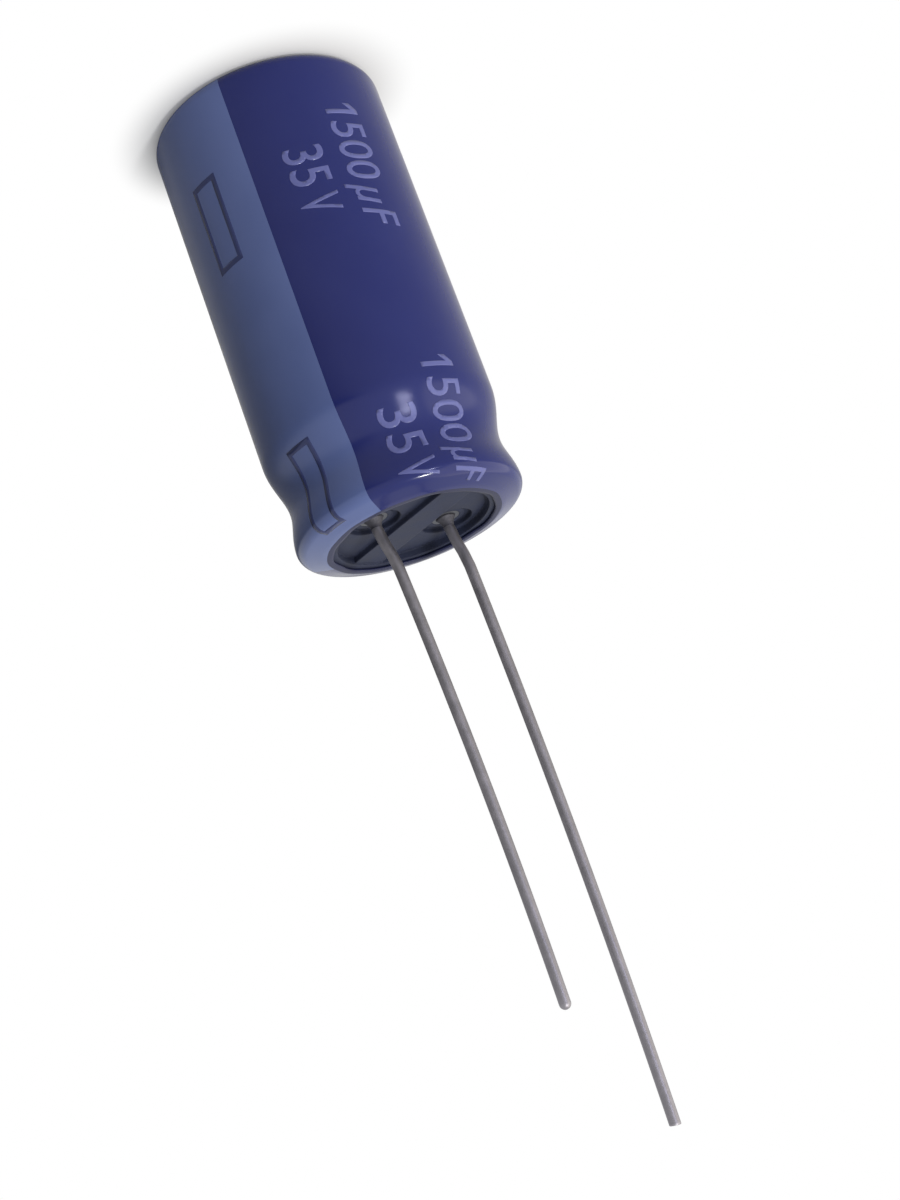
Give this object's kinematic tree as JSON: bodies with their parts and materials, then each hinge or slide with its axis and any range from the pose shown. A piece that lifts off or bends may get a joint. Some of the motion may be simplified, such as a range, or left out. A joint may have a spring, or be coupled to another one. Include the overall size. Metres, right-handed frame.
{
  "type": "radial electrolytic capacitor",
  "caption": "Cylindrical aluminium electrolytic capacitor with a printed blue sleeve, a rubber seal and two radial wire leads of unequal length for a circuit board.",
  "frame": {"origin": "centre of the closed end, on the surface that the part stands on", "axes": "+Z along the can's axis from the closed end to the leads, +X from the short negative lead to the long positive lead"},
  "size_m": [0.0128, 0.0128, 0.0582],
  "materials": {
    "sleeve": "glossy printed heat-shrink",
    "can": "drawn",
    "seal": "moulded",
    "anode_foil": "etched",
    "cathode_foil": "etched",
    "separator": "soaked with electrolyte",
    "tape": "smooth film",
    "tab": "pressed",
    "lead": "dull tin plate"
  },
  "bodies": {
    "root": {"sleeve": "sleeve", "can": "can", "seal": "seal", "anode_foil": "anode_foil", "cathode_foil": "cathode_foil", "inner_separator": "separator", "outer_separator": "separator", "winding_tape": "tape", "positive_tab": "tab", "negative_tab": "tab", "positive_lead": "lead", "negative_lead": "lead"}
  },
  "joints": []
}
